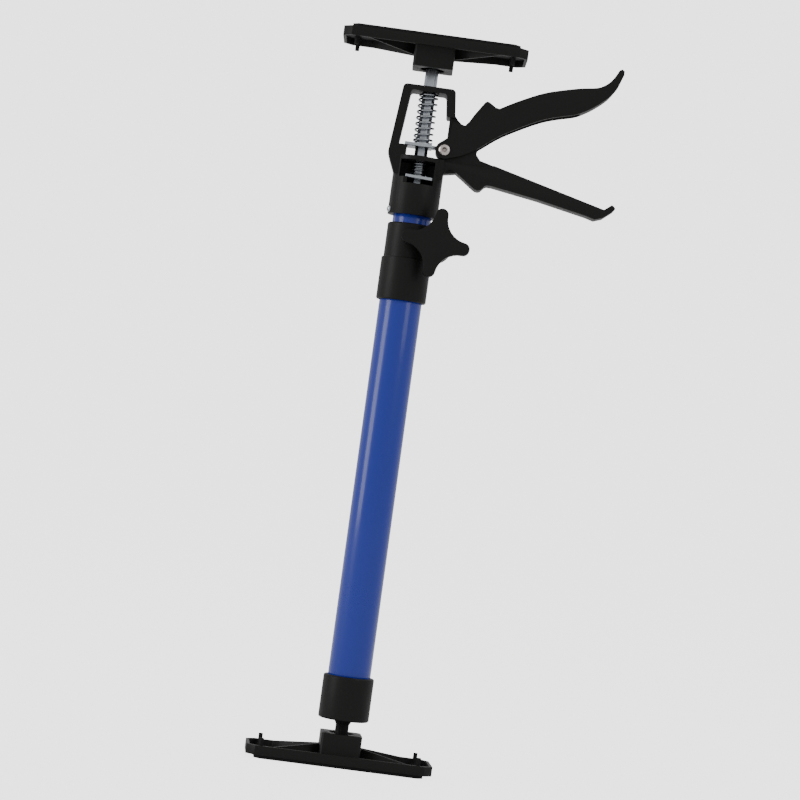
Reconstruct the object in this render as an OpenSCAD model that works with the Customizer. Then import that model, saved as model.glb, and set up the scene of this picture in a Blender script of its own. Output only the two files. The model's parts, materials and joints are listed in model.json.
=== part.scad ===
// Telescopic drywall support pole, stood upright on its foot pad.
// Origin: pole axis at the rubber face of the foot pad, +Z up the pole,
// +X towards the squeeze handles, -Y towards the clamp knob.

/* [Tubes] */
// Outside diameter of the outer tube
tube_od = 30; // [28:0.5:32]
// Wall of both tubes
tube_wall = 1.2; // [1:0.1:1.5]
// Length of the outer tube
outer_len = 318; // [280:1:360]
// Outside diameter of the inner tube
inner_od = 27; // [26.6:0.1:27]
// Length of the inner tube
inner_len = 344; // [300:1:346]
// Bare inner tube left between collar and head
rest_gap = 6; // [5:0.5:12]

/* [End cap] */
// Outside diameter of the end cap
cap_d = 35.6; // [34:0.2:38]
// Height of the end cap
cap_h = 30.5; // [24:0.5:36]
// Floor of the end cap
cap_floor = 5.4; // [4:0.2:7]
// Height of the plug inside the outer tube
cap_plug_h = 8; // [6:0.5:8]

/* [Ball joints] */
// Diameter of each ball
ball_d = 15; // [14:0.5:15]
// Height of the ball centre over the pad face
ball_z = 14; // [13.6:0.1:14.6]
// Diameter of the stud's neck
neck_d = 9.4; // [8:0.2:9.6]
// Free height between foot hub and end cap
neck_len = 9.6; // [9:0.2:14]
// Diameter of the stud's shank in the end cap
shank_d = 8; // [6:0.5:9]

/* [Pads] */
// Length of a pad plate
pad_len = 130; // [110:1:150]
// Depth of a pad plate
pad_depth = 46; // [40:1:54]
// Height from the rubber face to the end of the hub
pad_h = 22.6; // [22:0.2:26]
// Height of the plate's rim
rim_h = 6.6; // [5.5:0.1:7.5]
// Wall of the plate's rim and ribs
rim_wall = 2.2; // [1.6:0.1:3]
// Floor of the plate
plate_floor = 2.4; // [2:0.1:3]
// Rise of the ribs over the rim, at the hub
rib_rise = 5; // [2:0.5:8]
// Width of the square hub
hub_w = 28.6; // [26:0.2:32]
// Length of the rubber
rubber_len = 118; // [100:1:122]
// Depth of the rubber
rubber_depth = 41; // [36:1:42]
// Thickness of the rubber
rubber_t = 3.2; // [2.8:0.1:3.4]
// Depth of the pocket that seats the rubber
rubber_seat = 0.8; // [0.4:0.1:1]
// Spacing of the rubber's tails along the pad
tail_span_x = 110; // [90:1:112]
// Spacing of the rubber's tails across the pad
tail_span_y = 30; // [24:1:34]
// Height of a tail's tip over the pad face
tail_h = 13.8; // [11:0.2:16]
// Turn of the foot pad as photographed
foot_yaw = 4; // [0:1:90]

/* [Clamp collar] */
// Outside diameter of the collar's sleeve
collar_d = 35.2; // [34:0.2:38]
// Height of the sleeve on the outer tube
collar_sleeve_h = 30; // [20:1:40]
// Outside diameter of the split clamp
clamp_d = 32.8; // [31:0.2:34]
// Height of the split clamp
clamp_h = 24.3; // [20:0.5:28]
// Distance of the clamp bolt from the pole axis
bolt_x = 18.6; // [18:0.2:21]
// Width over the two ears
ear_w = 18; // [14:0.5:20]
// Width of the split between the ears
slot_w = 2.4; // [1.5:0.1:4]
// Diameter of the clamp bolt
bolt_d = 6; // [5:0.5:6]

/* [Knob] */
// Radius over the knob's lobes
knob_r = 24.2; // [20:0.2:26]
// Radius of a lobe's round tip
lobe_r = 4.4; // [3.6:0.1:5]
// Radius to the bottom of a valley
valley_r = 12.8; // [11:0.1:14]
// Thickness of the star
knob_t = 8; // [6:0.5:10]
// Turn of the knob as photographed
knob_turn = -6; // [-45:1:45]

/* [Head] */
// Outside diameter of the head's round body
head_d = 35.4; // [34:0.2:38]
// Depth of the inner tube in the head
socket_h = 18.2; // [14:0.2:24]
// Floor over the inner tube
head_floor = 3.5; // [3:0.1:5]
// Height of the brake window
window_h = 16.5; // [15:0.5:20]
// Width of the brake window left of the axis
window_left = 13; // [12:0.5:14]
// Width of the brake window right of the axis
window_right = 11; // [10.8:0.1:12]
// Thickness of the deck over the brake window
deck_t = 3; // [2.5:0.1:4]
// Depth of the frame's strap from front to back
strap_depth = 22; // [20:0.5:24]
// Thickness of the frame's posts
post_t = 5.9; // [5:0.1:6.5]
// Inside height of the frame over the deck
loop_h = 46.3; // [44:0.5:60]
// Thickness of the frame's top bar
bar_t = 3.7; // [3:0.1:6]
// Half width of the frame at the top
top_x = 18.6; // [18:0.2:20]
// Half width of the frame at its left bulge
bulge_x = 23; // [21:0.5:25]
// Height of the ledge that carries the drive plate
ledge_h = 7.5; // [7:0.1:8]

/* [Handles] */
// Distance of the lever's pivot from the pole axis
pivot_x = 15.9; // [15.6:0.1:16.2]
// Height of the lever's pivot over the deck
pivot_h = 7.4; // [7.2:0.1:7.8]
// Diameter of the pivot rivet
rivet_d = 5; // [4:0.2:5.4]
// Reach of the lever from its pivot
lever_reach = 116; // [100:1:130]
// Rise of the lever's tip over its pivot
lever_rise = 73.2; // [66:1:80]
// Outside width of the lever
lever_w = 16.6; // [16:0.2:18]
// Wall of the lever
lever_wall = 2.3; // [2:0.1:2.6]
// Radius of the lever's nose
nose_r = 6.2; // [6:0.1:6.4]
// Reach of the fixed handle from the head's body
handle_reach = 122; // [110:1:135]
// Drop of the fixed handle under the deck
handle_drop = 26.6; // [25:0.2:30]
// Width of the fixed handle
handle_w = 17; // [16.8:0.2:20]
// Wall of the fixed handle
handle_wall = 2.6; // [2:0.1:3]

/* [Rod and plates] */
// Size of the hexagonal rod across its flats
rod_af = 8; // [7:0.2:8]
// Bare rod between the frame and the head pad
rod_gap = 13; // [13:0.5:20]
// Height of the rod's lower end over the floor
rod_low_z = 56; // [54:0.5:60]
// Thickness of the drive plate
drive_t = 2.2; // [1.8:0.1:2.6]
// Thickness of the brake plate
brake_t = 2; // [1.6:0.1:2.4]
// Tilt of the brake plate that bites on the rod
brake_tilt = 2.4; // [2:0.5:4]

/* [Springs] */
// Outside diameter of the return spring
spring_d = 14; // [13.6:0.1:15]
// Wire of the return spring
spring_wire = 1.4; // [1:0.1:1.5]
// Turns of the return spring
spring_turns = 9; // [7:1:10]
// Outside diameter of the brake spring
brake_spring_d = 12; // [11.8:0.1:12.6]
// Wire of the brake spring
brake_wire = 1.1; // [0.8:0.1:1.1]
// Turns of the brake spring
brake_turns = 4; // [3:1:4]

/* [Hidden] */
$fn = 64;

// Clearances and overruns
run_fit = 0.05;
seat_fit = 0.04;
rest_fit = 0.1;
gap = 0.3;
over = 1;
long_over = 40;

// Heights up the pole
cap_z = pad_h + neck_len;
tube_z = cap_z + cap_floor;
tube_top = tube_z + outer_len;
collar_stop = 1.5;
clamp_z = tube_top + collar_stop;
collar_z = clamp_z - collar_sleeve_h;
collar_top = clamp_z + clamp_h;
head_z = collar_top + rest_gap;
socket_top = head_z + socket_h;
chamber_z = socket_top + head_floor;
chamber_top = chamber_z + window_h;
deck_z = chamber_top + deck_t;
bar_z = deck_z + loop_h;
frame_top = bar_z + bar_t;
head_hub_z = frame_top + rod_gap;
pole_top = head_hub_z + pad_h;
head_ball_z = pole_top - ball_z;
bolt_z = clamp_z + clamp_h / 2;
pivot_z = deck_z + pivot_h;
ledge_top = deck_z + ledge_h;
inner_z = socket_top - inner_len;

// Radii that fits are taken from
tube_r = tube_od / 2;
tube_bore = tube_r - tube_wall;
inner_r = inner_od / 2;
inner_bore = inner_r - tube_wall;
head_r = head_d / 2;
ball_r = ball_d / 2;
neck_r = neck_d / 2;
shank_r = shank_d / 2;
rod_r = rod_af / sqrt(3);
rivet_r = rivet_d / 2;
bolt_r = bolt_d / 2;

// Small sizes of the single pieces
edge_break = 0.8;
stud_cone_h = 3.3;
stud_cone_r = neck_r + 1.8;
stud_end = tube_z + 4;
washer_t = 1.2;
stud_washer_r = shank_r + 3.6;
clip_t = 1;
clip_r = shank_r + 1.6;
cap_well_r = stud_washer_r + 1;
mouth_h = 3;
mouth_r = neck_r + 4;
pad_corner = 6;
rubber_corner = 4;
hub_round = 2.5;
rib_run = 32;
rib_t = 2;
rib_root_y = 3;
tail_r = 1.5;
tail_base_r = 2.5;
tail_base_h = 2.6;
ear_r = clamp_h / 2;
bolt_head_r = 6.2;
bolt_head_h = 3.2;
bolt_washer_r = 5.4;
knob_clear = 0.9;
knob_back = head_r + knob_clear;
boss_r = 9;
boss_neck_r = 5.2;
nut_af = 10;
nut_t = 5;
glide_h = 10;
glide_plug_h = 12;
glide_wall = 2.2;
bar_round = 3;
bar_round_in = 2;
deck_hole_r = rod_r + 0.4;
chamber_back = 9;
chamber_front = head_r + over;
ledge_x = 10.5;
anchor_w = 5.8;
anchor_h = 4.2;
web_w = lever_w - 2 * lever_wall - 0.8;
web_inner_x = 16.8;
boss_web_r = 4.4;
pawl_in_r = boss_web_r + 0.4;
web_r = 21.6;
rivet_head_r = 4.1;
rivet_head_h = 1.6;
rivet_hole_r = 1.7;
rivet_hole_h = 8;
tube_rivet_r = 1.6;
tube_rivet_head_r = 2.4;
tube_rivet_head_h = 1.7;
tube_rivet_z = head_z + 2.8;
tube_rivet_turn = 20;
drive_left = 12.2;
drive_right = 7;
drive_w = 19;
tongue_w = 8;
tongue_fit = 0.25;
seat_washer_t = 0.8;
brake_left = 8.7;
brake_right = 10.3;
brake_w = 21;
brake_front = 12.5;
spigot_r = 3.2;
spigot_h = 8.6;
rod_end_drop = 6.4;
screw_r = 2.5;
screw_len = 18;
screw_head_r = 4;
screw_head_h = 2.2;
pin_r = 1.2;
pin_len = 12;
pin_rise = 4;

// Outlines

function arc(cx, cy, r, a0, a1, n) =
    [for (i = [0:n]) let (a = a0 + (a1 - a0) * i / n) [cx + r * cos(a), cy + r * sin(a)]];

function mid(a, b, c, d, t) =
    ((2 * b) + (c - a) * t + (2 * a - 5 * b + 4 * c - d) * t * t + (3 * b - a - 3 * c + d) * t * t * t) / 2;

// A smooth line through a few points
function smooth(p, n) =
    let (m = len(p) - 1)
    [for (i = [0:m - 1]) for (k = [0:n - 1])
        mid(p[max(i - 1, 0)], p[i], p[i + 1], p[min(i + 2, m)], k / n)];

function from_shares(shares, ox, oz, sx, sz) = [for (s = shares) [ox + s[0] * sx, oz + s[1] * sz]];

// The lever's spur and back, as shares of its reach and rise from the pivot
lever_spur_shares = [[0.104, 0.258], [0.128, 0.305], [0.150, 0.370], [0.206, 0.505],
    [0.218, 0.517], [0.233, 0.512], [0.275, 0.470]];
lever_back_shares = [[0.297, 0.464], [0.398, 0.555], [0.543, 0.665], [0.664, 0.724],
    [0.772, 0.765], [0.868, 0.791], [0.920, 0.836], [0.956, 0.900], [0.984, 0.984]];
lever_tip_shares = [[1, 1], [1.016, 0.984], [1.016, 0.945]];
lever_belly_shares = [[0.991, 0.829], [0.944, 0.719], [0.882, 0.628], [0.818, 0.557],
    [0.753, 0.505], [0.652, 0.462], [0.552, 0.406], [0.421, 0.299], [0.310, 0.193],
    [0.203, 0.059], [0.128, -0.016], [0.071, -0.056]];
// Where the lever's hollow starts and ends, as shares of its reach
hollow_start_share = 0.108;
hollow_end_share = 0.86;
hollow_rise_share = 0.257;

// The fixed handle from the head's body and the deck, as shares of its reach and drop
handle_arch_shares = [[-0.04, -0.52], [-0.009, -0.42], [0.001, -0.33], [0.012, -0.265],
    [0.031, -0.22], [0.049, -0.228], [0.066, -0.262]];
handle_bump_shares = [[0.177, -0.617], [0.190, -0.650], [0.207, -0.662], [0.220, -0.640],
    [0.232, -0.579], [0.243, -0.520], [0.255, -0.494], [0.286, -0.5]];
handle_under_shares = [[0.552, -0.684], [0.840, -0.936], [0.892, -1], [0.939, -0.925],
    [0.995, -0.711]];
handle_hook_shares = [[1.002, -0.66], [1, -0.628], [0.991, -0.585], [0.980, -0.564],
    [0.939, -0.714]];
handle_top_shares = [[0.902, -0.673], [0.281, 0.041]];
handle_low_top_share = -0.045;
handle_hollow_shares = [[0.32, 0.3], [0.32, -0.37], [0.56, -0.54], [0.84, -0.80], [0.87, -0.80],
    [0.87, 0.3]];

// A flat outline in the plane of the handles, given its depth from front to back
module upright(depth) {
    rotate([90, 0, 0])
        linear_extrude(height = depth, center = true)
            children();
}

module tube_between(r_out, r_in, z0, z1) {
    translate([0, 0, z0])
        difference() {
            cylinder(r = r_out, h = z1 - z0);
            translate([0, 0, -over])
                cylinder(r = r_in, h = z1 - z0 + 2 * over);
        }
}

module hex_bar(af, h) {
    cylinder(r = af / sqrt(3), h = h, $fn = 6);
}

// Springs: one unbroken helical tube each

ring_steps = 8;
wire_sides = 6;

// Height of a spring's centreline: its end curls lie closer than the middle ones
function coil_z(t, turns, wire, pitch_end, h) =
    let (run = h - wire, rest = (run - 2 * pitch_end) / (turns - 2))
    t < 1 ? t * pitch_end
    : t > turns - 1 ? run - (turns - t) * pitch_end
    : pitch_end + (t - 1) * rest;

function coil_ring(t, r, wire, turns, pitch_end, h) =
    let (a = 360 * t, z = wire / 2 + coil_z(t, turns, wire, pitch_end, h))
    [for (k = [0:wire_sides - 1]) let (b = 360 * k / wire_sides, q = r + wire / 2 * cos(b))
        [q * cos(a), q * sin(a), z + wire / 2 * sin(b)]];

module coil(d, wire, turns, h) {
    r = (d - wire) / 2;
    pitch_end = wire * 1.5;
    steps = turns * ring_steps;
    points = [for (i = [0:steps]) each coil_ring(i / ring_steps, r, wire, turns, pitch_end, h)];
    n = wire_sides;
    sides = [for (i = [0:steps - 1]) for (k = [0:n - 1]) let (a = i * n + k, b = i * n + (k + 1) % n)
        each [[a, b, a + n], [b, b + n, a + n]]];
    ends = [for (k = [1:n - 2]) each [[0, k + 1, k], [steps * n, steps * n + k, steps * n + k + 1]]];
    least = min([for (i = [0:steps - ring_steps])
        let (p = points[i * n], q = points[(i + ring_steps) * n]) norm(p - q) - wire]);
    echo(least_gap_between_curls = least);
    polyhedron(points = points, faces = concat(sides, ends));
}

// Pads: the plate lies with its rubber face at zero and its hub upwards

module pad_outline(l, d, c) {
    x = l / 2;
    y = d / 2;
    polygon([[-x + c, -y], [x - c, -y], [x, -y + c], [x, y - c],
        [x - c, y], [-x + c, y], [-x, y - c], [-x, -y + c]]);
}

module hub_outline() {
    x = hub_w / 2 - hub_round;
    polygon(concat(arc(x, x, hub_round, 0, 90, 4), arc(-x, x, hub_round, 90, 180, 4),
        arc(-x, -x, hub_round, 180, 270, 4), arc(x, -x, hub_round, 270, 360, 4)));
}

module pad_plate() {
    z0 = rubber_t - rubber_seat;
    rim_top = z0 + rim_h;
    rib_end = hub_w / 2 + rib_run;
    difference() {
        union() {
            difference() {
                translate([0, 0, z0])
                    linear_extrude(height = rim_h)
                        pad_outline(pad_len, pad_depth, pad_corner);
                translate([0, 0, z0 + plate_floor])
                    linear_extrude(height = rim_h)
                        pad_outline(pad_len - 2 * rim_wall, pad_depth - 2 * rim_wall, pad_corner - rim_wall / 2);
            }
            translate([0, 0, z0 + plate_floor / 2])
                linear_extrude(height = pad_h - z0 - plate_floor / 2)
                    hub_outline();
            // Four ribs spread from the hub's sides to the rim and rise to the hub
            intersection() {
                upright(pad_depth - rim_wall)
                    polygon([[-rib_end, z0 + plate_floor / 2], [rib_end, z0 + plate_floor / 2],
                        [rib_end, rim_top], [hub_w / 2 - over, rim_top + rib_rise],
                        [-hub_w / 2 + over, rim_top + rib_rise], [-rib_end, rim_top]]);
                for (side = [0, 180])
                    for (way = [-1, 1])
                        rotate([0, 0, side])
                            linear_extrude(height = pad_h)
                                polygon([[hub_w / 2 - over, way * rib_root_y],
                                    [hub_w / 2 - over, way * (rib_root_y - rib_t)],
                                    [rib_end, way * (pad_depth / 2 - rim_wall - rib_t / 2)],
                                    [rib_end, way * (pad_depth / 2 - rim_wall + rib_t / 2)]]);
            }
        }
        // Pocket for the rubber
        translate([0, 0, z0 - over])
            linear_extrude(height = rubber_seat + over)
                pad_outline(rubber_len + 2 * seat_fit, rubber_depth + 2 * seat_fit, rubber_corner);
        // Socket for the ball, with a flared mouth
        translate([0, 0, ball_z])
            sphere(r = ball_r + run_fit);
        translate([0, 0, ball_z + mouth_h])
            cylinder(r1 = sqrt(pow(ball_r + run_fit, 2) - mouth_h * mouth_h), r2 = mouth_r,
                h = pad_h - ball_z - mouth_h);
        translate([0, 0, pad_h - edge_break / 4])
            cylinder(r = mouth_r, h = over);
        for (x = [-1, 1])
            for (y = [-1, 1])
                translate([x * tail_span_x / 2, y * tail_span_y / 2, 0])
                    cylinder(r = tail_r + seat_fit, h = pad_h);
    }
}

module pad_rubber() {
    floor_z = rubber_t - rubber_seat + plate_floor;
    linear_extrude(height = rubber_t)
        pad_outline(rubber_len, rubber_depth, rubber_corner);
    for (x = [-1, 1])
        for (y = [-1, 1])
            translate([x * tail_span_x / 2, y * tail_span_y / 2, 0]) {
                cylinder(r = tail_r, h = tail_h);
                translate([0, 0, floor_z])
                    cylinder(r1 = tail_base_r, r2 = tail_r, h = tail_base_h);
            }
}

module at_foot() {
    rotate([0, 0, foot_yaw])
        children();
}

module at_head() {
    translate([0, 0, pole_top])
        mirror([0, 0, 1])
            children();
}

module foot_plate() {
    color([0.13, 0.13, 0.13]) at_foot() pad_plate();
}

module foot_rubber() {
    color([0.07, 0.07, 0.07]) at_foot() pad_rubber();
}

module head_plate() {
    color([0.13, 0.13, 0.13]) at_head() pad_plate();
}

module head_rubber() {
    color([0.07, 0.07, 0.07]) at_head() pad_rubber();
}

// Foot joint

module ball_stud() {
    cone_z = cap_z - gap - stud_cone_h;
    color([0.12, 0.12, 0.12])
        union() {
            translate([0, 0, ball_z])
                sphere(r = ball_r);
            translate([0, 0, ball_z])
                cylinder(r = neck_r, h = cone_z - ball_z);
            translate([0, 0, cone_z])
                cylinder(r1 = neck_r, r2 = stud_cone_r, h = stud_cone_h);
            translate([0, 0, cap_z - gap])
                cylinder(r = shank_r, h = stud_end - cap_z + gap);
        }
}

module stud_washer() {
    color("silver")
        tube_between(stud_washer_r, shank_r + seat_fit, tube_z + rest_fit, tube_z + rest_fit + washer_t);
}

module stud_clip() {
    z0 = tube_z + rest_fit + washer_t;
    color("dimgray")
        difference() {
            tube_between(clip_r, shank_r + seat_fit, z0, z0 + clip_t);
            translate([0, -shank_r / 2, z0 - over])
                cube([clip_r + over, shank_r, clip_t + 2 * over]);
        }
}

module end_cap() {
    r = cap_d / 2;
    b = edge_break;
    color([0.13, 0.13, 0.13])
        difference() {
            rotate_extrude()
                polygon([[shank_r + run_fit, cap_z], [r - b, cap_z], [r, cap_z + b],
                    [r, cap_z + cap_h - b], [r - b, cap_z + cap_h], [tube_r + seat_fit, cap_z + cap_h],
                    [tube_r + seat_fit, tube_z], [tube_bore - seat_fit, tube_z],
                    [tube_bore - seat_fit, tube_z + cap_plug_h], [cap_well_r, tube_z + cap_plug_h],
                    [cap_well_r, tube_z], [shank_r + run_fit, tube_z]]);
        }
}

// Tubes and clamp

module outer_tube() {
    color([0.10, 0.25, 0.62])
        tube_between(tube_r, tube_bore, tube_z, tube_top);
}

module inner_tube() {
    color([0.10, 0.25, 0.62])
        difference() {
            tube_between(inner_r, inner_bore, inner_z, socket_top);
            tube_rivet_shanks(tube_rivet_r + seat_fit);
        }
}

module tube_glide() {
    color([0.85, 0.85, 0.82])
        difference() {
            union() {
                translate([0, 0, inner_z - glide_h])
                    cylinder(r = tube_bore - run_fit, h = glide_h);
                cylinder(r = inner_bore - run_fit, h = inner_z + glide_plug_h);
            }
            translate([0, 0, -over])
                cylinder(r = inner_bore - run_fit - glide_wall, h = inner_z + glide_plug_h + 2 * over);
            translate([0, 0, -over])
                cylinder(r = tube_r, h = inner_z - glide_h + over);
        }
}

module clamp_collar() {
    r = collar_d / 2;
    c = clamp_d / 2;
    b = edge_break;
    bore = inner_r + run_fit;
    color([0.13, 0.13, 0.13])
        difference() {
            union() {
                rotate_extrude()
                    polygon([[tube_r + seat_fit, collar_z], [r - b, collar_z], [r, collar_z + b],
                        [r, clamp_z - b / 2], [r - b / 2, clamp_z], [c, clamp_z],
                        [c, collar_top - b], [c - b, collar_top], [bore, collar_top],
                        [bore, tube_top], [tube_r + seat_fit, tube_top]]);
                difference() {
                    translate([0, 0, bolt_z])
                        upright(ear_w)
                            polygon(concat(arc(bolt_x, 0, ear_r, -90, 90, 16), [[0, ear_r], [0, -ear_r]]));
                    translate([0, 0, clamp_z - over])
                        cylinder(r = bore, h = clamp_h + 2 * over);
                }
            }
            translate([0, -slot_w / 2, clamp_z])
                cube([bolt_x + ear_r + over, slot_w, clamp_h + over]);
            translate([bolt_x, ear_w, bolt_z])
                rotate([90, 0, 0])
                    cylinder(r = bolt_r + rest_fit, h = 2 * ear_w);
            // Flat seats for the bolt's head and the washer
            for (way = [0, 180])
                translate([bolt_x, 0, bolt_z])
                    rotate([90 + way, 0, 0])
                        translate([0, 0, ear_w / 2])
                            cylinder(r = bolt_head_r + gap, h = ear_w);
        }
}

module clamp_bolt() {
    back = ear_w / 2 + seat_fit;
    front = knob_back + knob_t - 2 * over;
    color("silver")
        translate([bolt_x, 0, bolt_z])
            rotate([90, 0, 0]) {
                translate([0, 0, -back])
                    cylinder(r = bolt_r, h = back + front);
                translate([0, 0, -back - bolt_head_h])
                    rotate_extrude()
                        polygon(concat([[0, bolt_head_h], [0, 0]],
                            [for (i = [1:8]) [bolt_head_r * sin(90 * i / 8),
                                bolt_head_h * (1 - cos(90 * i / 8))]]));
            }
}

module bolt_washer() {
    color("silver")
        translate([bolt_x, -ear_w / 2 - seat_fit, bolt_z])
            rotate([90, 0, 0])
                difference() {
                    cylinder(r = bolt_washer_r, h = washer_t);
                    translate([0, 0, -over])
                        cylinder(r = bolt_r + rest_fit, h = washer_t + 2 * over);
                }
}

// Four round lobes joined by round valleys that meet them smoothly
module star_outline() {
    tip = knob_r - lobe_r;
    // The valley's circle touches both neighbouring lobes
    far = (tip * tip - pow(valley_r - lobe_r, 2)) / (tip * sqrt(2) - 2 * (valley_r - lobe_r));
    vr = far - valley_r;
    turn = atan2(far * sin(45), far * cos(45) - tip);
    polygon([for (k = [0:3]) let (a = 90 * k)
        each concat(
            [for (p = arc(tip, 0, lobe_r, -turn, turn, 10))
                [p[0] * cos(a) - p[1] * sin(a), p[0] * sin(a) + p[1] * cos(a)]],
            [for (i = [1:7]) let (b = 180 + turn + (90 - 2 * turn) * i / 8,
                p = [far * cos(45) + vr * cos(b), far * sin(45) + vr * sin(b)])
                [p[0] * cos(a) - p[1] * sin(a), p[0] * sin(a) + p[1] * cos(a)]])]);
}

module at_knob() {
    translate([bolt_x, 0, bolt_z])
        rotate([90, 0, 0])
            children();
}

module star_knob() {
    start = ear_w / 2 + seat_fit + washer_t + rest_fit;
    flare = knob_back - 4;
    color([0.13, 0.13, 0.13])
        at_knob()
            difference() {
                union() {
                    translate([0, 0, knob_back])
                        rotate([0, 0, knob_turn])
                            linear_extrude(height = knob_t)
                                star_outline();
                    translate([0, 0, start])
                        cylinder(r1 = boss_neck_r, r2 = boss_r, h = flare - start);
                    translate([0, 0, flare])
                        cylinder(r = boss_r, h = knob_back - flare + over);
                }
                translate([0, 0, start - over])
                    cylinder(r = bolt_r + rest_fit, h = knob_back + knob_t - start);
                translate([0, 0, flare])
                    hex_bar(nut_af + 2 * seat_fit, nut_t);
            }
}

module knob_nut() {
    color("goldenrod")
        at_knob()
            translate([0, 0, knob_back - 4 + seat_fit])
                difference() {
                    hex_bar(nut_af, nut_t - 2 * seat_fit);
                    translate([0, 0, -over])
                        cylinder(r = bolt_r + run_fit, h = nut_t + 2 * over);
                }
}

// Head

module frame_strap() {
    // Outer line of the strap, then its window
    lean = (bulge_x - top_x) / (frame_top - deck_z);
    left_in = bulge_x - post_t;
    right_low = top_x + 1.8;
    post_end = bar_z - bar_t * 4.3;
    difference() {
        upright(strap_depth)
            polygon(concat(
                [[-head_r + edge_break, deck_z - ledge_h * 1.8], [-bulge_x + 1.6, deck_z - deck_t],
                    [-bulge_x, deck_z + 1.3]],
                arc(-top_x + bar_round, frame_top - bar_round, bar_round, 175, 90, 6),
                arc(top_x - bar_round, frame_top - bar_round, bar_round, 90, 5, 6),
                [[right_low, post_end + over], [right_low + over, post_end],
                    [web_inner_x - 2 * over, post_end], [web_inner_x - 2 * over, deck_z],
                    [head_r - edge_break, deck_z], [head_r - edge_break, deck_z - ledge_h * 1.8]]));
        upright(strap_depth + 2 * over)
            polygon(concat(
                [[-ledge_x, deck_z], [-ledge_x, ledge_top], [-left_in + lean * ledge_h, ledge_top]],
                arc(-top_x + post_t + bar_round_in, bar_z - bar_round_in, bar_round_in, 175, 90, 4),
                arc(top_x - post_t - bar_round_in, bar_z - bar_round_in, bar_round_in, 90, 5, 4),
                [[right_low - post_t - 0.2, post_end + over], [web_inner_x, post_end - 2 * over],
                    [web_inner_x, deck_z]]));
    }
}

// The web that carries the pivot between the lever's cheeks
module pivot_web() {
    post_end = bar_z - bar_t * 4.3;
    upright(web_w)
        difference() {
            polygon(concat(
                [[web_inner_x, post_end + 2 * over], [web_inner_x, pivot_z]],
                arc(pivot_x, pivot_z, boss_web_r, 180, 245, 6),
                [[pivot_x - 2 * edge_break * 2, deck_z - over], [head_r, deck_z - 3 * deck_t],
                    [head_r + handle_reach * 0.3, deck_z + handle_drop * handle_low_top_share - over],
                    [head_r + handle_reach * 0.281, deck_z + handle_drop * 0.041],
                    [head_r + handle_reach * 0.197, deck_z + handle_drop * 0.139],
                    [head_r + handle_reach * 0.170, deck_z + handle_drop * 0.29],
                    [head_r + handle_reach * 0.176, deck_z + handle_drop * 0.40]],
                arc(pivot_x, pivot_z, web_r, 14, 58, 8),
                [[top_x + 4.2, post_end - edge_break], [top_x + 1.8, post_end + 2 * over]]));
        }
    translate([0, 0, 0])
        upright(web_w)
            polygon(arc(pivot_x, pivot_z, boss_web_r, 0, 350, 35));
}

module handle_outline() {
    pts = concat(handle_arch_shares, handle_bump_shares, handle_under_shares,
        handle_hook_shares, handle_top_shares);
    line = from_shares(pts, head_r, deck_z, handle_reach, handle_drop);
    low = deck_z + handle_drop * handle_low_top_share;
    polygon(concat(line, [[head_r + handle_reach * 0.2, low], [0, low], [0, deck_z - handle_drop * 0.5]]));
}

module fixed_handle() {
    difference() {
        upright(handle_w)
            handle_outline();
        // The handle is a channel, open upwards
        upright(handle_w - 2 * handle_wall)
            polygon(from_shares(handle_hollow_shares, head_r, deck_z, handle_reach, handle_drop));
    }
    // Cross walls in the channel
    for (x = [0.45, 0.6, 0.75])
        intersection() {
            upright(handle_w - handle_wall)
                handle_outline();
            translate([head_r + handle_reach * x, -handle_w / 2, deck_z - handle_drop])
                cube([handle_wall, handle_w, handle_drop * (0.80 - x * 0.25 - 0.12) + 2 * over]);
        }
}

module tube_rivet_shanks(r) {
    for (side = [0, 180])
        rotate([0, 0, tube_rivet_turn + side])
            translate([inner_bore - gap, 0, tube_rivet_z])
                rotate([0, 90, 0])
                    cylinder(r = r, h = head_r - inner_bore + gap + over, $fn = 32);
}

module head_frame() {
    color([0.13, 0.13, 0.13])
        difference() {
            union() {
                translate([0, 0, head_z])
                    cylinder(r = head_r, h = deck_z - head_z);
                frame_strap();
                pivot_web();
                fixed_handle();
            }
            // Socket for the inner tube
            translate([0, 0, head_z - over])
                cylinder(r = inner_r + seat_fit, h = socket_h + over);
            // Brake chamber, open at the front and closed at the back
            difference() {
                translate([-window_left, -chamber_front, chamber_z])
                    cube([window_left + window_right, chamber_front + chamber_back, window_h]);
                translate([-window_left - over, -chamber_front + 4 * over, chamber_z - over])
                    cube([anchor_w + over, chamber_front + chamber_back, anchor_h + over]);
            }
            // Way of the rod
            translate([0, 0, socket_top - over])
                cylinder(r = deck_hole_r, h = deck_z - socket_top + 2 * over);
            translate([0, 0, bar_z - over])
                rotate([0, 0, 0])
                    hex_bar(rod_af + 2 * gap, bar_t + 2 * over);
            translate([pivot_x, web_w, pivot_z])
                rotate([90, 0, 0])
                    cylinder(r = rivet_r + seat_fit, h = 2 * web_w);
            tube_rivet_shanks(tube_rivet_r + seat_fit);
        }
}

module tube_rivets() {
    color("silver")
        union() {
            tube_rivet_shanks(tube_rivet_r);
            for (side = [0, 180])
                rotate([0, 0, tube_rivet_turn + side])
                    translate([head_r + seat_fit, 0, tube_rivet_z])
                        rotate([0, 90, 0])
                            rotate_extrude($fn = 32)
                                polygon([[0, 0], [tube_rivet_head_r, 0],
                                    [tube_rivet_head_r * 0.9, tube_rivet_head_h * 0.5],
                                    [tube_rivet_head_r * 0.5, tube_rivet_head_h * 0.9],
                                    [0, tube_rivet_head_h]]);
        }
}

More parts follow.
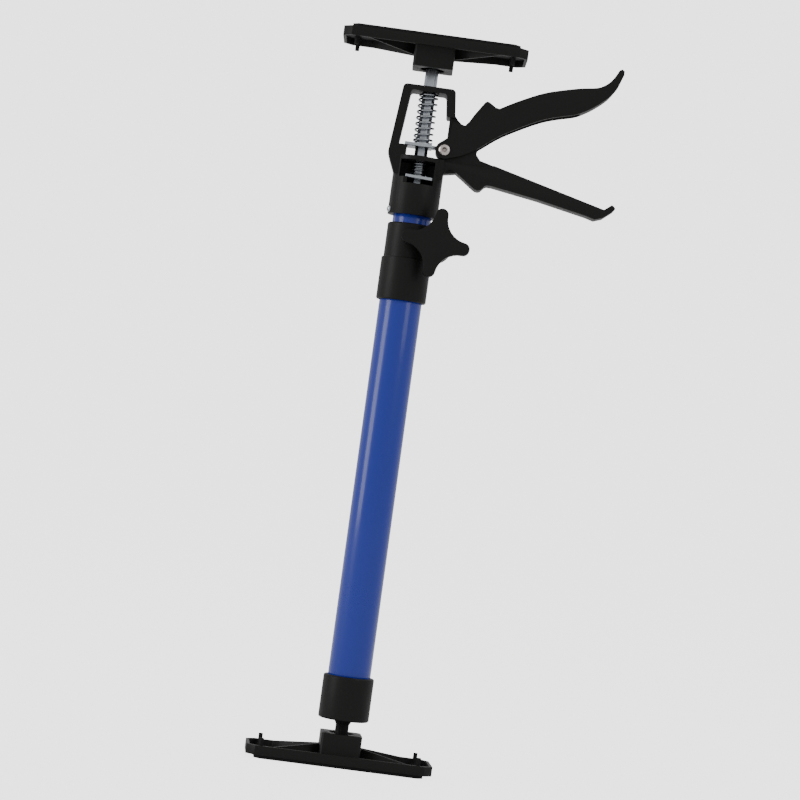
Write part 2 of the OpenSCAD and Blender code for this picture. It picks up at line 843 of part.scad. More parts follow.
module pivot_rivet() {
    half = lever_w / 2 + rest_fit;
    color([0.78, 0.72, 0.68])
        translate([pivot_x, 0, pivot_z])
            rotate([90, 0, 0])
                difference() {
                    union() {
                        translate([0, 0, -half])
                            cylinder(r = rivet_r, h = 2 * half);
                        for (way = [0, 180])
                            rotate([way, 0, 0])
                                translate([0, 0, half])
                                    rotate_extrude()
                                        polygon([[0, 0], [rivet_head_r, 0],
                                            [rivet_head_r * 0.94, rivet_head_h * 0.5],
                                            [rivet_head_r * 0.7, rivet_head_h * 0.9],
                                            [rivet_head_r * 0.4, rivet_head_h], [0, rivet_head_h]]);
                    }
                    translate([0, 0, half + rivet_head_h - rivet_hole_h])
                        cylinder(r = rivet_hole_r, h = rivet_hole_h + over);
                }
}

module lever_outline() {
    top = concat(from_shares(lever_spur_shares, pivot_x, pivot_z, lever_reach, lever_rise),
        smooth(from_shares(lever_back_shares, pivot_x, pivot_z, lever_reach, lever_rise), 3),
        from_shares([lever_back_shares[8]], pivot_x, pivot_z, lever_reach, lever_rise),
        from_shares(lever_tip_shares, pivot_x, pivot_z, lever_reach, lever_rise));
    low = smooth(from_shares(lever_belly_shares, pivot_x, pivot_z, lever_reach, lever_rise), 3);
    nose = arc(pivot_x, pivot_z, nose_r, 285, 118, 16);
    polygon(concat(top, low, nose,
        [[pivot_x + 1.7, pivot_z + nose_r * 1.48], [pivot_x + 2.6, pivot_z + nose_r * 2],
            [pivot_x + 3, pivot_z + nose_r * 3.1], [pivot_x + 4.4, pivot_z + nose_r * 3.36]]));
}

module lever_hollow() {
    back = from_shares(lever_back_shares, pivot_x, pivot_z, lever_reach, lever_rise);
    start = [pivot_x + hollow_start_share * lever_reach, pivot_z + hollow_rise_share * lever_rise];
    line = [for (p = back) if (p[0] < pivot_x + hollow_end_share * lever_reach)
        [p[0] + lever_wall * 0.5, p[1] - lever_wall]];
    last = line[len(line) - 1];
    polygon(concat([[0, pivot_z - lever_rise], [0, pivot_z + lever_rise],
        [start[0], pivot_z + lever_rise], start], line, [[last[0], pivot_z - lever_rise]]));
}

module trigger_lever() {
    color([0.13, 0.13, 0.13])
        difference() {
            union() {
                difference() {
                    upright(lever_w)
                        lever_outline();
                    upright(lever_w - 2 * lever_wall)
                        lever_hollow();
                }
                // Pawl between the cheeks, under the drive plate's tongue
                upright(lever_w - lever_wall)
                    polygon(concat(arc(pivot_x, pivot_z, nose_r, 181, 236, 8),
                        arc(pivot_x, pivot_z, pawl_in_r, 236, 181, 8)));
            }
            translate([pivot_x, lever_w, pivot_z])
                rotate([90, 0, 0])
                    cylinder(r = rivet_r + run_fit, h = 2 * lever_w);
        }
}

// Rod, plates and springs

module drive_plate() {
    z0 = ledge_top + rest_fit;
    tip = pivot_x - boss_web_r - tongue_fit * 2;
    color("silver")
        translate([0, 0, z0])
            difference() {
                union() {
                    translate([-drive_left, -drive_w / 2, 0])
                        cube([drive_left + drive_right, drive_w, drive_t]);
                    translate([0, -tongue_w / 2, 0])
                        cube([tip, tongue_w, drive_t]);
                }
                translate([0, 0, -over])
                    cylinder(r = rod_r + gap / 2, h = drive_t + 2 * over);
            }
}

module spring_washer() {
    z0 = ledge_top + rest_fit + drive_t;
    color("silver")
        tube_between(spring_d / 2, rod_r + gap, z0, z0 + seat_washer_t);
}

module return_spring() {
    z0 = ledge_top + 2 * rest_fit + drive_t + seat_washer_t;
    color("silver")
        translate([0, 0, z0])
            coil(spring_d, spring_wire, spring_turns, bar_z - rest_fit - z0);
}

module brake_plate() {
    color("silver")
        translate([-brake_left, 0, chamber_z + anchor_h + gap])
            rotate([0, brake_tilt, 0])
                translate([brake_left, 0, 0])
                    difference() {
                        translate([-brake_left, -brake_front, 0])
                            cube([brake_left + brake_right, brake_w, brake_t]);
                        translate([0, 0, -over])
                            cylinder(r = rod_r + 2 * gap, h = brake_t + 2 * over);
                    }
}

module brake_spring() {
    rise = (brake_spring_d / 2 - brake_left) * sin(brake_tilt);
    z0 = chamber_z + anchor_h + gap + brake_t + rise + gap;
    color("silver")
        translate([0, 0, z0])
            coil(brake_spring_d, brake_wire, brake_turns, chamber_top - rest_fit - z0);
}

module push_rod() {
    shoulder = head_ball_z - rod_end_drop;
    color("silver")
        difference() {
            union() {
                translate([0, 0, rod_low_z])
                    hex_bar(rod_af, shoulder - rod_low_z);
                translate([0, 0, shoulder - over])
                    cylinder(r = spigot_r, h = spigot_h + over);
            }
            translate([0, 0, shoulder + spigot_h - screw_len])
                cylinder(r = screw_r + seat_fit, h = screw_len + over);
            translate([0, pin_len, rod_low_z + pin_rise])
                rotate([90, 0, 0])
                    cylinder(r = pin_r + seat_fit, h = 2 * pin_len, $fn = 32);
        }
}

module rod_stop_pin() {
    color("dimgray")
        translate([0, pin_len / 2, rod_low_z + pin_rise])
            rotate([90, 0, 0])
                cylinder(r = pin_r, h = pin_len, $fn = 32);
}

module rod_ball() {
    shoulder = head_ball_z - rod_end_drop;
    color([0.12, 0.12, 0.12])
        difference() {
            translate([0, 0, head_ball_z])
                sphere(r = ball_r);
            translate([0, 0, head_ball_z - ball_d])
                cylinder(r = ball_r, h = ball_d - rod_end_drop + seat_fit);
            translate([0, 0, shoulder - over])
                cylinder(r = spigot_r + run_fit, h = ball_d);
            translate([0, 0, shoulder + spigot_h + run_fit])
                cylinder(r = screw_head_r + rest_fit, h = ball_d);
        }
}

module ball_screw() {
    top = head_ball_z - rod_end_drop + spigot_h + 2 * run_fit;
    color("silver")
        difference() {
            union() {
                translate([0, 0, top])
                    cylinder(r = screw_head_r, h = screw_head_h);
                translate([0, 0, top - screw_len + over])
                    cylinder(r = screw_r, h = screw_len);
            }
            translate([0, 0, top + screw_head_h / 2])
                hex_bar(screw_r * 1.4, screw_head_h);
        }
}

outer_tube();
end_cap();
clamp_collar();
clamp_bolt();
bolt_washer();
ball_stud();
stud_washer();
stud_clip();
foot_plate();
foot_rubber();
star_knob();
knob_nut();
tube_glide();
inner_tube();
head_frame();
tube_rivets();
pivot_rivet();
return_spring();
brake_spring();
trigger_lever();
drive_plate();
spring_washer();
brake_plate();
push_rod();
rod_stop_pin();
rod_ball();
ball_screw();
head_plate();
head_rubber();
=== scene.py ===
"""Looks and stage of a telescopic drywall support pole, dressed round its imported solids."""

import json
from math import radians

import bpy
from bpy.props import FloatProperty, FloatVectorProperty, IntProperty, PointerProperty
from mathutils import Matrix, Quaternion, Vector

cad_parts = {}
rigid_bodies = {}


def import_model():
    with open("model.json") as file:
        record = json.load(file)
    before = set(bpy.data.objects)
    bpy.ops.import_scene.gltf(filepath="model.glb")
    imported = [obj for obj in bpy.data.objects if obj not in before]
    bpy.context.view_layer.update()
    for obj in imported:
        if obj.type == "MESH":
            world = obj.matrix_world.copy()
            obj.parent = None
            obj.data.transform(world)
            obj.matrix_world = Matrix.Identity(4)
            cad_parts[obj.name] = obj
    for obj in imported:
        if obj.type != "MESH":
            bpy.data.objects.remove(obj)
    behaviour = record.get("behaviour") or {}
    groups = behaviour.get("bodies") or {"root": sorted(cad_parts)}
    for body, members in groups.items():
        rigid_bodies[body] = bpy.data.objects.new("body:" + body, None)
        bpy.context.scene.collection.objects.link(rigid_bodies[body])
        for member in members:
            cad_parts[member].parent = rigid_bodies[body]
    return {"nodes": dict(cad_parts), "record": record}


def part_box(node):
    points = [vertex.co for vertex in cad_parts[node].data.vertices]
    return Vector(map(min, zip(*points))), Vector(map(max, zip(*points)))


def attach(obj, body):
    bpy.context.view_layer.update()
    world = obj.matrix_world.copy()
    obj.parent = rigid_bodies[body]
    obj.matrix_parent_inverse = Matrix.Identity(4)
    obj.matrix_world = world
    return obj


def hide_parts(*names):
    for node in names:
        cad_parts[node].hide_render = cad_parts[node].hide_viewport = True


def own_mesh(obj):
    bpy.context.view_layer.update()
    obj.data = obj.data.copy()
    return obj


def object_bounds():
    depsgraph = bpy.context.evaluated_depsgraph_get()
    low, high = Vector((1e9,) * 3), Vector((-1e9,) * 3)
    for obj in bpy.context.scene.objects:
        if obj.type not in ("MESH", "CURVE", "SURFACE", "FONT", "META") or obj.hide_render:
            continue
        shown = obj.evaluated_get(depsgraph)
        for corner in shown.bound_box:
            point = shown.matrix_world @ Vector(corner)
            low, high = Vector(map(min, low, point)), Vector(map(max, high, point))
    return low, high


bl_info = {
    "name": "Drywall support pole",
    "version": (1, 0, 0),
    "blender": (4, 5, 0),
    "location": "3D View > Sidebar > Support pole",
    "description": "Dresses a telescopic drywall support pole and sets it on a studio floor",
    "category": "Object",
}

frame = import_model()
CAD_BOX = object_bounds()
MM = 0.001

# Clean-up of a copied CAD mesh: points closer than this merge, and flatter joins dissolve
COPY_MERGE = 0.002 * MM
FLAT_ANGLE = radians(0.5)

# Edges sharper than the first angle are rounded, and shading stays smooth under the second
SHARP_ANGLE = radians(34)
SMOOTH_ANGLE = radians(32)

# Noise values between which a finish goes from glossiest to dullest
GLOSSY_NOISE = 0.3
DULL_NOISE = 0.7
GRAIN_DEPTH = 0.1 * MM
COAT_ROUGHNESS = 0.12

# Wound wire: sides of its section, steps in a turn, pitch of the end curls in wire widths,
# merging distance and shading angle
WIRE_SIDES = 14
TURN_STEPS = 40
END_PITCH = 1.5
WIRE_MERGE = 0.01 * MM
WIRE_ANGLE = radians(50)

# How far each spring closes up at its joint's longer limit
RETURN_CLOSES = 3 * MM
BRAKE_CLOSES = 0.9 * MM

# Stage, in metres: place and size of each light, the floor's sides and the sweep's facets
KEY_PLACE, KEY_SIZE = (-2.1, -0.8, 0.7), (1.0, 1.6)
FILL_PLACE, FILL_SIZE = (1.6, -1.5, 1.7), (1.0, 1.6)
TOP_PLACE, TOP_SIZE = (0.2, 0.3, 2.3), (1.6, 1.6)
FLOOR_SIDES = 96
SWEEP_FACETS = 12
FLOOR_ROUGHNESS = 0.7
CLIP = (0.05, 50)
WHITE = (1, 1, 1, 1)


def colour(name, words, value):
    """A colour that the sidebar shows as a swatch."""
    return FloatVectorProperty(
        name=name, description=words, subtype="COLOR", size=3, min=0, max=1, default=value
    )


def length(name, words, value):
    """A length in metres."""
    return FloatProperty(name=name, description=words, unit="LENGTH", min=0, default=value)


def power(name, words, value):
    """A light's power in watts."""
    return FloatProperty(name=name, description=words, unit="POWER", min=0, default=value)


class PoleLooks(bpy.types.PropertyGroup):
    """Colours and small edge sizes of the pole."""

    paint: colour("Tube paint", "Blue gloss paint of both tubes", (0.0048, 0.021, 0.30))
    nylon: colour("Nylon", "Black moulded nylon of head, pads, knob and cap", (0.0105, 0.0100, 0.0096))
    rubber: colour("Rubber", "Rubber faces of the two pads", (0.008, 0.008, 0.008))
    zinc: colour("Zinc", "Zinc-plated rod, plates and washers", (0.50, 0.53, 0.57))
    rivet: colour("Pivot rivet", "Bare steel of the lever's rivet", (0.66, 0.60, 0.57))
    spring: colour("Spring steel", "Drawn wire of both springs", (0.42, 0.44, 0.47))
    dark: colour("Dark steel", "Oiled clip and stop pin", (0.10, 0.10, 0.105))
    brass: colour("Brass", "Nut moulded in the knob", (0.62, 0.43, 0.16))
    white: colour("White plastic", "Glide on the inner tube", (0.62, 0.61, 0.58))
    mould_edge: length("Mould edge", "Rounding of the moulded edges", 0.5 * MM)
    grip_edge: length("Grip edge", "Rounding of the squeeze lever's edges", 0.9 * MM)
    steel_edge: length("Steel edge", "Rounding of the steel edges", 0.15 * MM)
    paint_bump: FloatProperty(
        name="Orange peel", description="Height of the paint's waviness", min=0, max=1, default=0.02
    )
    nylon_bump: FloatProperty(
        name="Mould grain", description="Height of the nylon's spark grain", min=0, max=1, default=0.12
    )
    return_wire: length("Return spring wire", "Wire of the spring on the drive plate", 1.4 * MM)
    return_turns: IntProperty(
        name="Return spring turns", description="Turns of the spring on the drive plate", min=3, default=9
    )
    brake_wire: length("Brake spring wire", "Wire of the spring on the brake plate", 1.1 * MM)
    brake_turns: IntProperty(
        name="Brake spring turns", description="Turns of the spring on the brake plate", min=3, default=4
    )


class StageLooks(bpy.types.PropertyGroup):
    """Camera, floor and lights."""

    camera_side: length("Camera side", "Camera's place along X", 9 * MM)
    camera_back: length("Camera distance", "Distance in front of the pole", 1800 * MM)
    camera_height: length("Camera height", "Eye height over the floor", 206.6 * MM)
    aim_height: length("Aim height", "Height on the pole's plane at the picture's centre", 258.6 * MM)
    camera_roll: FloatProperty(
        name="Camera roll", description="Lean of the pole in the picture", unit="ROTATION",
        default=radians(7.83),
    )
    lens: FloatProperty(name="Lens", description="Focal length in millimetres", min=1, default=115.6)
    floor_radius: length("Floor radius", "Radius of the round floor", 5)
    wall_height: length("Wall height", "Height of the sweep behind the floor", 4)
    floor_colour: colour("Floor", "Pale studio floor", (0.30, 0.30, 0.30))
    floor_glow: FloatProperty(name="Floor glow", description="Light that the floor adds", default=0.45)
    floor_white: FloatProperty(
        name="Floor white", description="Glow of the floor where the camera sees it", default=2.5
    )
    key_power: power("Key light", "Power of the low soft box on the left", 20)
    fill_power: power("Fill light", "Power of the high soft box on the right", 9)
    top_power: power("Top light", "Power of the soft box overhead", 12)
    sky: FloatProperty(name="Sky", description="Strength of the white surroundings", default=0.8)


# Finishes


def socket(group, name, way, kind, value=None):
    """Adds one named socket to a node group."""
    made = group.interface.new_socket(name=name, in_out=way, socket_type=kind)
    if value is not None:
        made.default_value = value
    return made


def grain_group():
    """Fine grain over coarse clouding, shared by every finish: a mask and a height."""
    known = bpy.data.node_groups.get("Grain and clouding")
    if known:
        return known
    group = bpy.data.node_groups.new("Grain and clouding", "ShaderNodeTree")
    socket(group, "Grain scale", "INPUT", "NodeSocketFloat", 900.0)
    socket(group, "Cloud scale", "INPUT", "NodeSocketFloat", 40.0)
    socket(group, "Grain share", "INPUT", "NodeSocketFloat", 0.5)
    socket(group, "Mask", "OUTPUT", "NodeSocketFloat")
    socket(group, "Height", "OUTPUT", "NodeSocketFloat")
    nodes, links = group.nodes, group.links
    given = nodes.new("NodeGroupInput")
    out = nodes.new("NodeGroupOutput")
    place = nodes.new("ShaderNodeTexCoord")
    grain = nodes.new("ShaderNodeTexNoise")
    cloud = nodes.new("ShaderNodeTexNoise")
    grain.inputs["Detail"].default_value = 3
    cloud.inputs["Detail"].default_value = 4
    mix = nodes.new("ShaderNodeMix")
    mix.data_type = "FLOAT"
    for noise, scale in ((grain, "Grain scale"), (cloud, "Cloud scale")):
        links.new(place.outputs["Object"], noise.inputs["Vector"])
        links.new(given.outputs[scale], noise.inputs["Scale"])
    links.new(given.outputs["Grain share"], mix.inputs["Factor"])
    links.new(cloud.outputs["Fac"], mix.inputs["A"])
    links.new(grain.outputs["Fac"], mix.inputs["B"])
    links.new(mix.outputs["Result"], out.inputs["Mask"])
    links.new(grain.outputs["Fac"], out.inputs["Height"])
    return group


def finish_material(
    name, base, rough, grain, bump, shade, metal=0.0, coat=0.0, shine=0.5
):
    """A Principled finish whose colour and gloss vary with the shared grain.

    rough is the range from the glossiest to the dullest spot, and shade is how much darker a dull spot is.
    """
    material = bpy.data.materials.new(name)
    material.use_nodes = True
    nodes, links = material.node_tree.nodes, material.node_tree.links
    skin = nodes["Principled BSDF"]
    pattern = nodes.new("ShaderNodeGroup")
    pattern.node_tree = grain_group()
    for key, value in zip(("Grain scale", "Cloud scale", "Grain share"), grain):
        pattern.inputs[key].default_value = value
    gloss = nodes.new("ShaderNodeMapRange")
    gloss.inputs["From Min"].default_value = GLOSSY_NOISE
    gloss.inputs["From Max"].default_value = DULL_NOISE
    gloss.inputs["To Min"].default_value = rough[0]
    gloss.inputs["To Max"].default_value = rough[1]
    links.new(pattern.outputs["Mask"], gloss.inputs["Value"])
    links.new(gloss.outputs["Result"], skin.inputs["Roughness"])
    tint = nodes.new("ShaderNodeMix")
    tint.data_type = "RGBA"
    tint.inputs["A"].default_value = (*base, 1)
    tint.inputs["B"].default_value = (*(c * (1 - shade) for c in base), 1)
    links.new(pattern.outputs["Mask"], tint.inputs["Factor"])
    links.new(tint.outputs["Result"], skin.inputs["Base Color"])
    height = nodes.new("ShaderNodeBump")
    height.inputs["Strength"].default_value = bump
    height.inputs["Distance"].default_value = GRAIN_DEPTH
    links.new(pattern.outputs["Height"], height.inputs["Height"])
    links.new(height.outputs["Normal"], skin.inputs["Normal"])
    skin.inputs["Metallic"].default_value = metal
    skin.inputs["Specular IOR Level"].default_value = shine
    skin.inputs["Coat Weight"].default_value = coat
    skin.inputs["Coat Roughness"].default_value = COAT_ROUGHNESS
    return material


def blue_paint(looks):
    """Gloss paint on rolled tube, with a clear sheen and faint waviness."""
    return finish_material(
        "blue_gloss_paint", looks.paint, (0.26, 0.34), grain=(700, 12, 0.3),
        bump=looks.paint_bump, shade=0.10, coat=0.5, shine=0.3,
    )


def black_nylon(looks):
    """Satin glass-filled nylon with a fine spark grain."""
    return finish_material(
        "black_nylon", looks.nylon, (0.34, 0.50), grain=(1500, 60, 0.6), bump=looks.nylon_bump,
        shade=0.25, shine=0.15,
    )


def black_rubber(looks):
    """Dull moulded rubber."""
    return finish_material(
        "black_rubber", looks.rubber, (0.62, 0.80), grain=(1200, 50, 0.5), bump=0.25, shade=0.30,
        shine=0.2,
    )


def zinc_plate(looks):
    """Blue-bright zinc over drawn steel."""
    return finish_material(
        "zinc_plate", looks.zinc, (0.22, 0.40), metal=1.0, grain=(500, 60, 0.5), bump=0.04, shade=0.20
    )


def rivet_steel(looks):
    """Tumbled rivet steel, slightly warm."""
    return finish_material(
        "rivet_steel", looks.rivet, (0.25, 0.38), metal=1.0, grain=(900, 120, 0.5), bump=0.05, shade=0.20
    )


def spring_wire(looks):
    """Drawn spring wire."""
    return finish_material(
        "spring_wire", looks.spring, (0.22, 0.34), metal=1.0, grain=(900, 90, 0.5), bump=0.03, shade=0.20
    )


def dark_steel(looks):
    """Oiled dark steel."""
    return finish_material(
        "dark_steel", looks.dark, (0.35, 0.50), metal=1.0, grain=(800, 70, 0.5), bump=0.05, shade=0.20
    )


def brass(looks):
    """Turned brass."""
    return finish_material(
        "turned_brass", looks.brass, (0.25, 0.40), metal=1.0, grain=(600, 80, 0.5), bump=0.04, shade=0.20
    )


def white_plastic(looks):
    """Milky glide plastic."""
    return finish_material(
        "white_plastic", looks.white, (0.35, 0.50), grain=(900, 60, 0.5), bump=0.04, shade=0.06
    )


FINISHES = {
    "blue_paint": blue_paint,
    "black_nylon": black_nylon,
    "black_rubber": black_rubber,
    "zinc_steel": zinc_plate,
    "spring_steel": spring_wire,
    "dark_steel": dark_steel,
    "rivet_steel": rivet_steel,
    "brass_nut": brass,
    "white_plastic": white_plastic,
}
SLOTS = {row["node"]: row["material_slot"] for row in frame["record"]["subparts"]}
BODY_OF = {node: body for body, group in frame["record"]["behaviour"]["bodies"].items() for node in group}
made_finishes = {}


def finish_for(slot):
    """The material of a slot, made on first use."""
    if slot not in made_finishes:
        made_finishes[slot] = FINISHES[slot](bpy.context.scene.pole_looks)
    return made_finishes[slot]


# Hand tools


def pick(*objects):
    """Selects only these objects and makes the last one active."""
    bpy.ops.object.select_all(action="DESELECT")
    for o in objects:
        o.select_set(True)
    bpy.context.view_layer.objects.active = objects[-1]


def dress(piece, node):
    """Gives a piece the finish, body and slot of the CAD node that it stands for."""
    slot = SLOTS[node]
    piece.data.materials.clear()
    piece.data.materials.append(finish_for(slot))
    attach(piece, BODY_OF[node])
    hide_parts(node)
    return piece


def taken_from(node):
    """A merged copy of a CAD node, with its own mesh and whole flat faces."""
    pick(frame["nodes"][node])
    bpy.ops.object.duplicate()
    piece = bpy.context.object
    piece.name = node + "_dressed"
    bpy.ops.object.parent_clear(type="CLEAR_KEEP_TRANSFORM")
    bpy.ops.object.mode_set(mode="EDIT")
    bpy.ops.mesh.select_all(action="SELECT")
    bpy.ops.mesh.remove_doubles(threshold=COPY_MERGE)
    bpy.ops.mesh.dissolve_limited(angle_limit=FLAT_ANGLE)
    bpy.ops.object.mode_set(mode="OBJECT")
    return piece


def soft_edges(piece, width, segments):
    """Rounds a piece's sharp edges and shades the rest smooth."""
    pick(piece)
    bpy.ops.object.modifier_add(type="BEVEL")
    bevel = piece.modifiers[-1]
    bevel.width = width
    bevel.segments = segments
    bevel.limit_method = "ANGLE"
    bevel.angle_limit = SHARP_ANGLE
    bevel.miter_outer = "MITER_ARC"
    bpy.ops.object.modifier_apply(modifier=bevel.name)
    bpy.ops.object.shade_smooth_by_angle(angle=SMOOTH_ANGLE)


def rounded(node, width, segments=2):
    """The usual piece: a CAD node with its edges softened and its finish on."""
    piece = taken_from(node)
    soft_edges(piece, width, segments)
    return dress(piece, node)


class PoleOperator:
    """What every operator of this add-on shares."""

    bl_options = {"REGISTER", "UNDO"}

    def execute(self, context):
        self.build(context.scene.pole_looks)
        return {"FINISHED"}


class POLE_OT_tubes(PoleOperator, bpy.types.Operator):
    """Paint both tubes and fit the glide"""

    bl_idname = "pole.tubes"
    bl_label = "Tubes"

    def build(self, looks):
        for node in ("outer_tube", "inner_tube", "tube_glide"):
            rounded(node, looks.steel_edge)


class POLE_OT_mouldings(PoleOperator, bpy.types.Operator):
    """Round and finish the head frame, collar and end cap"""

    bl_idname = "pole.mouldings"
    bl_label = "Mouldings"

    def build(self, looks):
        for node in ("head_frame", "clamp_collar", "end_cap"):
            rounded(node, looks.mould_edge, segments=3)


class POLE_OT_lever(PoleOperator, bpy.types.Operator):
    """Round and finish the squeeze lever"""

    bl_idname = "pole.lever"
    bl_label = "Squeeze lever"

    def build(self, looks):
        rounded("trigger_lever", looks.grip_edge, segments=3)


class POLE_OT_knob(PoleOperator, bpy.types.Operator):
    """Round and finish the star knob and its nut"""

    bl_idname = "pole.knob"
    bl_label = "Star knob"

    def build(self, looks):
        rounded("star_knob", looks.grip_edge, segments=3)
        rounded("knob_nut", looks.steel_edge)


class POLE_OT_pads(PoleOperator, bpy.types.Operator):
    """Round and finish both pads, their rubbers and their balls"""

    bl_idname = "pole.pads"
    bl_label = "Pads"

    def build(self, looks):
        for node in ("foot_plate", "head_plate", "foot_rubber", "head_rubber", "ball_stud", "rod_ball"):
            rounded(node, looks.mould_edge)


class POLE_OT_steelwork(PoleOperator, bpy.types.Operator):
    """Finish the rod, plates, rivets, screw, pin, bolt and washers"""

    bl_idname = "pole.steelwork"
    bl_label = "Steelwork"

    def build(self, looks):
        for node in (
            "push_rod", "drive_plate", "brake_plate", "spring_washer", "stud_washer", "stud_clip",
            "clamp_bolt", "bolt_washer", "tube_rivets", "pivot_rivet", "rod_stop_pin", "ball_screw",
        ):
            rounded(node, looks.steel_edge)


def curl(radius, wire, low, pitch, turns):
    """A length of round wire wound on the pole's axis with an even pitch."""
    bpy.ops.object.select_all(action="DESELECT")
    bpy.ops.mesh.primitive_circle_add(
        vertices=WIRE_SIDES, radius=wire / 2, location=(radius, 0, low), rotation=(radians(90), 0, 0)
    )
    bpy.ops.object.transform_apply(location=True, rotation=True, scale=True)
    bpy.ops.object.modifier_add(type="SCREW")
    winding = bpy.context.object.modifiers[-1]
    winding.angle = radians(360)
    winding.screw_offset = pitch
    winding.iterations = turns
    winding.steps = winding.render_steps = TURN_STEPS
    bpy.ops.object.modifier_apply(modifier=winding.name)
    return bpy.context.object


def wound_spring(node, wire, turns):
    """A compression spring in the CAD spring's place, with closer end curls and capped ends."""
    low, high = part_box(node)
    radius = high[0] - wire / 2
    end_pitch = wire * END_PITCH
    start = low[2] + wire / 2
    stop = high[2] - wire / 2
    pitch = (stop - start - 2 * end_pitch) / (turns - 2)
    parts = [
        curl(radius, wire, start, end_pitch, 1),
        curl(radius, wire, start + end_pitch, pitch, turns - 2),
        curl(radius, wire, stop - end_pitch, end_pitch, 1),
    ]
    pick(*parts)
    bpy.ops.object.join()
    piece = bpy.context.object
    piece.name = node + "_wound"
    bpy.ops.object.mode_set(mode="EDIT")
    bpy.ops.mesh.select_all(action="SELECT")
    bpy.ops.mesh.remove_doubles(threshold=WIRE_MERGE)
    bpy.ops.mesh.fill_holes(sides=0)
    bpy.ops.mesh.select_all(action="SELECT")
    bpy.ops.mesh.normals_make_consistent(inside=False)
    bpy.ops.object.mode_set(mode="OBJECT")
    bpy.ops.object.shade_smooth_by_angle(angle=WIRE_ANGLE)
    return dress(piece, node)


class POLE_OT_springs(PoleOperator, bpy.types.Operator):
    """Wind both springs"""

    bl_idname = "pole.springs"
    bl_label = "Springs"

    def build(self, looks):
        for node, joint, wire, turns, travel in (
            ("return_spring", "drive_lift", looks.return_wire, looks.return_turns, RETURN_CLOSES),
            ("brake_spring", "brake_release", looks.brake_wire, looks.brake_turns, BRAKE_CLOSES),
        ):
            piece = wound_spring(node, wire, turns)
            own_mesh(piece)


# Stage


def area_light(name, place, target, size, power):
    """A soft light that faces a point."""
    bpy.ops.object.light_add(type="AREA", location=place)
    lamp = bpy.context.object
    lamp.name = name
    lamp.data.shape = "RECTANGLE"
    lamp.data.size, lamp.data.size_y = size
    lamp.data.energy = power
    lamp.rotation_euler = (Vector(target) - Vector(place)).to_track_quat("-Z", "Y").to_euler()


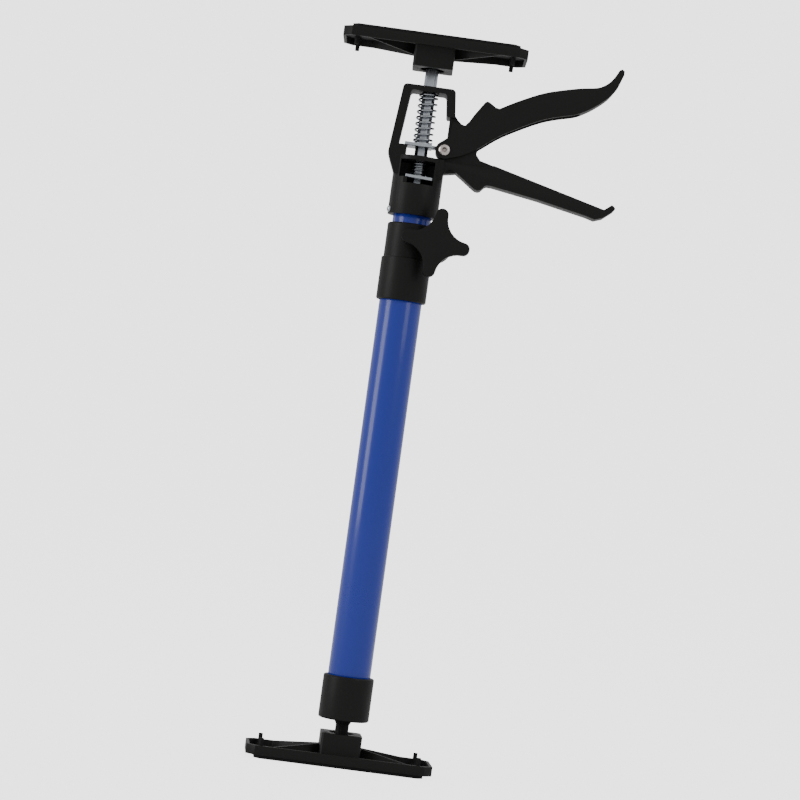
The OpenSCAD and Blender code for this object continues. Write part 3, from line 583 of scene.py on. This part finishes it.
class POLE_OT_stage(bpy.types.Operator):
    """Set the camera, the pale floor and the soft lights"""

    bl_idname = "pole.stage"
    bl_label = "Stage"
    bl_options = {"REGISTER", "UNDO"}

    def execute(self, context):
        stage = context.scene.stage_looks
        self.floor(stage)
        self.lights(stage)
        self.camera(context, stage)
        return {"FINISHED"}

    def floor(self, stage):
        """A round floor that sweeps up into a wall on every side, and shows whiter than it lights."""
        bpy.ops.object.select_all(action="DESELECT")
        bpy.ops.mesh.primitive_circle_add(vertices=FLOOR_SIDES, radius=stage.floor_radius, fill_type="NGON")
        floor = bpy.context.object
        floor.name = "studio_floor"
        bpy.ops.object.mode_set(mode="EDIT")
        bpy.ops.mesh.select_all(action="SELECT")
        bpy.ops.mesh.region_to_loop()
        bpy.ops.mesh.extrude_region_move(TRANSFORM_OT_translate={"value": (0, 0, stage.wall_height)})
        bpy.ops.object.mode_set(mode="OBJECT")
        bpy.ops.object.modifier_add(type="BEVEL")
        sweep = floor.modifiers[-1]
        sweep.width = stage.wall_height / 2
        sweep.segments = SWEEP_FACETS
        sweep.limit_method = "ANGLE"
        bpy.ops.object.modifier_apply(modifier=sweep.name)
        bpy.ops.object.shade_smooth()
        material = bpy.data.materials.new("studio_floor")
        material.use_nodes = True
        skin = material.node_tree.nodes["Principled BSDF"]
        skin.inputs["Base Color"].default_value = (*stage.floor_colour, 1)
        skin.inputs["Roughness"].default_value = FLOOR_ROUGHNESS
        skin.inputs["Emission Color"].default_value = WHITE
        nodes, links = material.node_tree.nodes, material.node_tree.links
        seen = nodes.new("ShaderNodeLightPath")
        glow = nodes.new("ShaderNodeMapRange")
        glow.inputs["To Min"].default_value = stage.floor_glow
        glow.inputs["To Max"].default_value = stage.floor_white
        links.new(seen.outputs["Is Camera Ray"], glow.inputs["Value"])
        links.new(glow.outputs["Result"], skin.inputs["Emission Strength"])
        floor.data.materials.append(material)

    def lights(self, stage):
        """Two soft boxes beside the camera, one above, and white surroundings."""
        target = (0, 0, CAD_BOX[1][2] / 2)
        area_light("key_light", KEY_PLACE, target, KEY_SIZE, stage.key_power)
        area_light("fill_light", FILL_PLACE, target, FILL_SIZE, stage.fill_power)
        area_light("top_light", TOP_PLACE, target, TOP_SIZE, stage.top_power)
        world = bpy.data.worlds.new("white_surroundings")
        world.use_nodes = True
        sky = world.node_tree.nodes["Background"]
        sky.inputs["Color"].default_value = WHITE
        sky.inputs["Strength"].default_value = stage.sky
        bpy.context.scene.world = world

    def camera(self, context, stage):
        """The picture's viewpoint: level with the pole's lower half and leaning a little."""
        place = Vector((stage.camera_side, -stage.camera_back, stage.camera_height))
        aim = Vector((stage.camera_side, 0, stage.aim_height))
        bpy.ops.object.camera_add(location=place)
        camera = bpy.context.object
        camera.name = "picture_camera"
        camera.data.lens = stage.lens
        camera.data.clip_start, camera.data.clip_end = CLIP
        turned = (aim - place).to_track_quat("-Z", "Y") @ Quaternion((0, 0, 1), stage.camera_roll)
        camera.rotation_euler = turned.to_euler()
        context.scene.camera = camera


class POLE_PT_panel(bpy.types.Panel):
    """Buttons and values of the support pole"""

    bl_idname = "POLE_PT_panel"
    bl_label = "Support pole"
    bl_space_type = "VIEW_3D"
    bl_region_type = "UI"
    bl_category = "Support pole"

    def draw(self, context):
        for operator in OPERATORS:
            self.layout.operator(operator.bl_idname)
        for group in (context.scene.pole_looks, context.scene.stage_looks):
            for name in group.bl_rna.properties.keys():
                if name not in ("rna_type", "name"):
                    self.layout.prop(group, name)


OPERATORS = (
    POLE_OT_tubes, POLE_OT_mouldings, POLE_OT_lever, POLE_OT_knob, POLE_OT_pads,
    POLE_OT_steelwork, POLE_OT_springs, POLE_OT_stage,
)
CLASSES = (PoleLooks, StageLooks, *OPERATORS, POLE_PT_panel)


def register():
    for kind in CLASSES:
        bpy.utils.register_class(kind)
    bpy.types.Scene.pole_looks = PointerProperty(type=PoleLooks)
    bpy.types.Scene.stage_looks = PointerProperty(type=StageLooks)


def unregister():
    del bpy.types.Scene.stage_looks
    del bpy.types.Scene.pole_looks
    for kind in reversed(CLASSES):
        bpy.utils.unregister_class(kind)


def main():
    """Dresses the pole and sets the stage."""
    register()
    bpy.ops.pole.tubes()
    bpy.ops.pole.mouldings()
    bpy.ops.pole.lever()
    bpy.ops.pole.knob()
    bpy.ops.pole.pads()
    bpy.ops.pole.steelwork()
    bpy.ops.pole.springs()
    bpy.ops.pole.stage()


if __name__ == "__main__":
    main()
